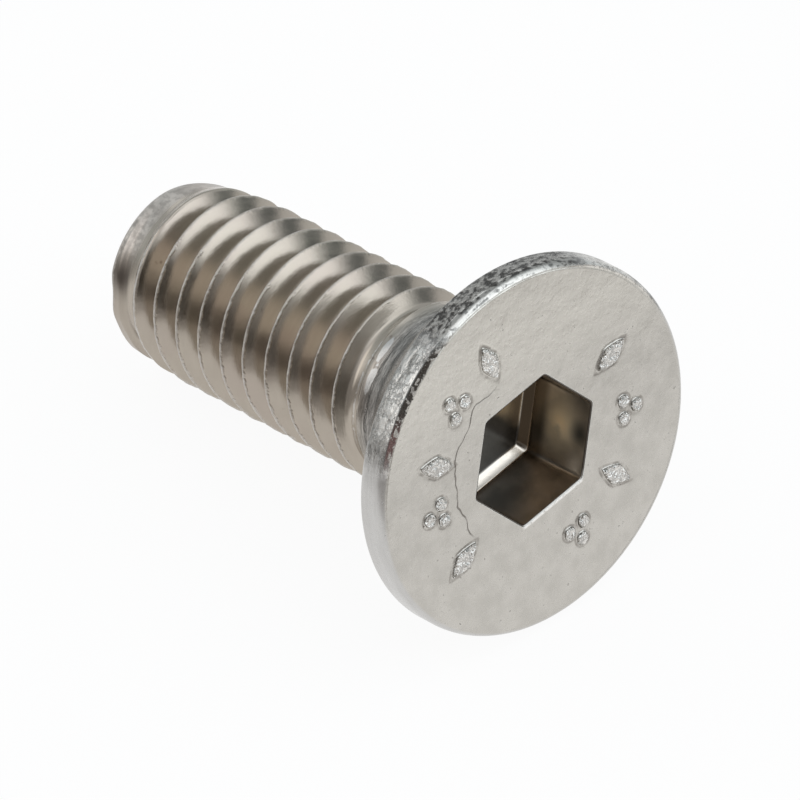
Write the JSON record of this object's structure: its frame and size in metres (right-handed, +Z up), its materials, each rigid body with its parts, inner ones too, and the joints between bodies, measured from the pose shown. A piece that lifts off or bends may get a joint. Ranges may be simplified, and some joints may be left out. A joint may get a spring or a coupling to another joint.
{
  "type": "countersunk socket screw",
  "caption": "Countersunk screw with a flat disc face, a hexagon socket, a conical seat and a rolled right-hand thread that runs from a short plain neck to a rounded end.",
  "frame": {"origin": "middle of the footprint, at the level of the table that the screw lies on", "axes": "+Z up; +X runs along the lying screw, from its threaded end to its head, whose face looks along +X and slightly up; +Y completes the right-handed frame"},
  "size_m": [0.017, 0.0114, 0.0113],
  "materials": {
    "steel": "bare stainless steel: satin pressed face, rough forged rim, smooth rolled thread"
  },
  "bodies": {
    "root": {"socket_screw": "steel"}
  },
  "joints": []
}
